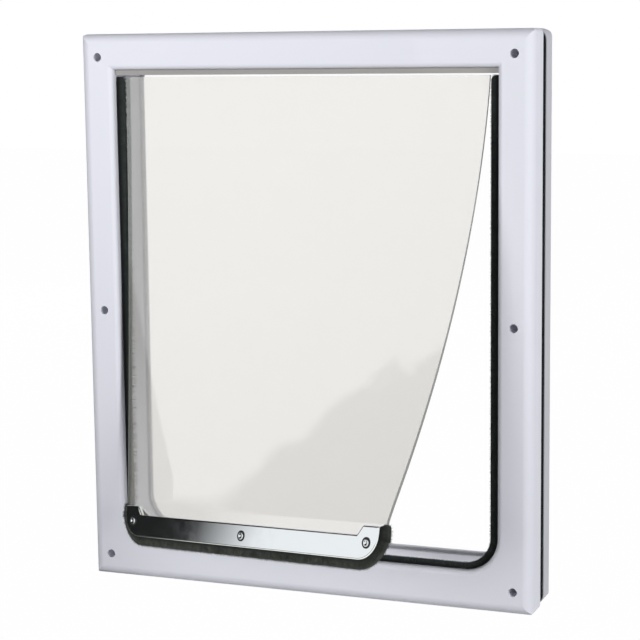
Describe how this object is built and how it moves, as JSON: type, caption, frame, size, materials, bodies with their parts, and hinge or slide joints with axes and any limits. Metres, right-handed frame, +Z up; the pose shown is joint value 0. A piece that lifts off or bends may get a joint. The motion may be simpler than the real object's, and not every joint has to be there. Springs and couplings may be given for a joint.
{
  "type": "dog door",
  "caption": "Flush two-frame dog door for a door leaf, with a flexible clear flap on a head clamp, a riveted steel bottom bar and brush pile seals",
  "frame": {"origin": "centre of the screw pattern, in the plane where the front flange seats on the door leaf", "axes": "+X to the right seen from the front, +Z up, -Y out of the front face towards the viewer"},
  "size_m": [0.384, 0.2079, 0.455],
  "materials": {
    "frame_plastic": "satin moulded white plastic",
    "foam": "closed-cell black foam",
    "pile": "dense black woven brush pile",
    "steel": "polished stainless steel",
    "magnet": "flexible bonded magnet",
    "clear_vinyl": "glossy clear flexible vinyl"
  },
  "bodies": {
    "frame": {"front_frame": "frame_plastic", "rear_frame": "frame_plastic", "door_gasket": "foam", "frame_pile_seal": "pile", "clamp_front_jaw": "frame_plastic", "clamp_rear_jaw": "frame_plastic", "clamp_screws": "steel", "flap_hem": "clear_vinyl", "sill_magnet": "magnet"},
    "flap": {"flap_sheet": "clear_vinyl", "front_bar": "steel", "rear_bar": "steel", "bar_magnets": "magnet", "bar_rivets": "steel", "flap_pile_seal": "pile"}
  },
  "joints": [
    {"name": "flap_swing", "type": "hinge", "parent": "frame", "child": "flap", "pos_m": [0, -0.014, 0.19255], "axis": [-1, 0, 0], "range_deg": [-85, 55], "deforming": ["frame_pile_seal"]}
  ]
}
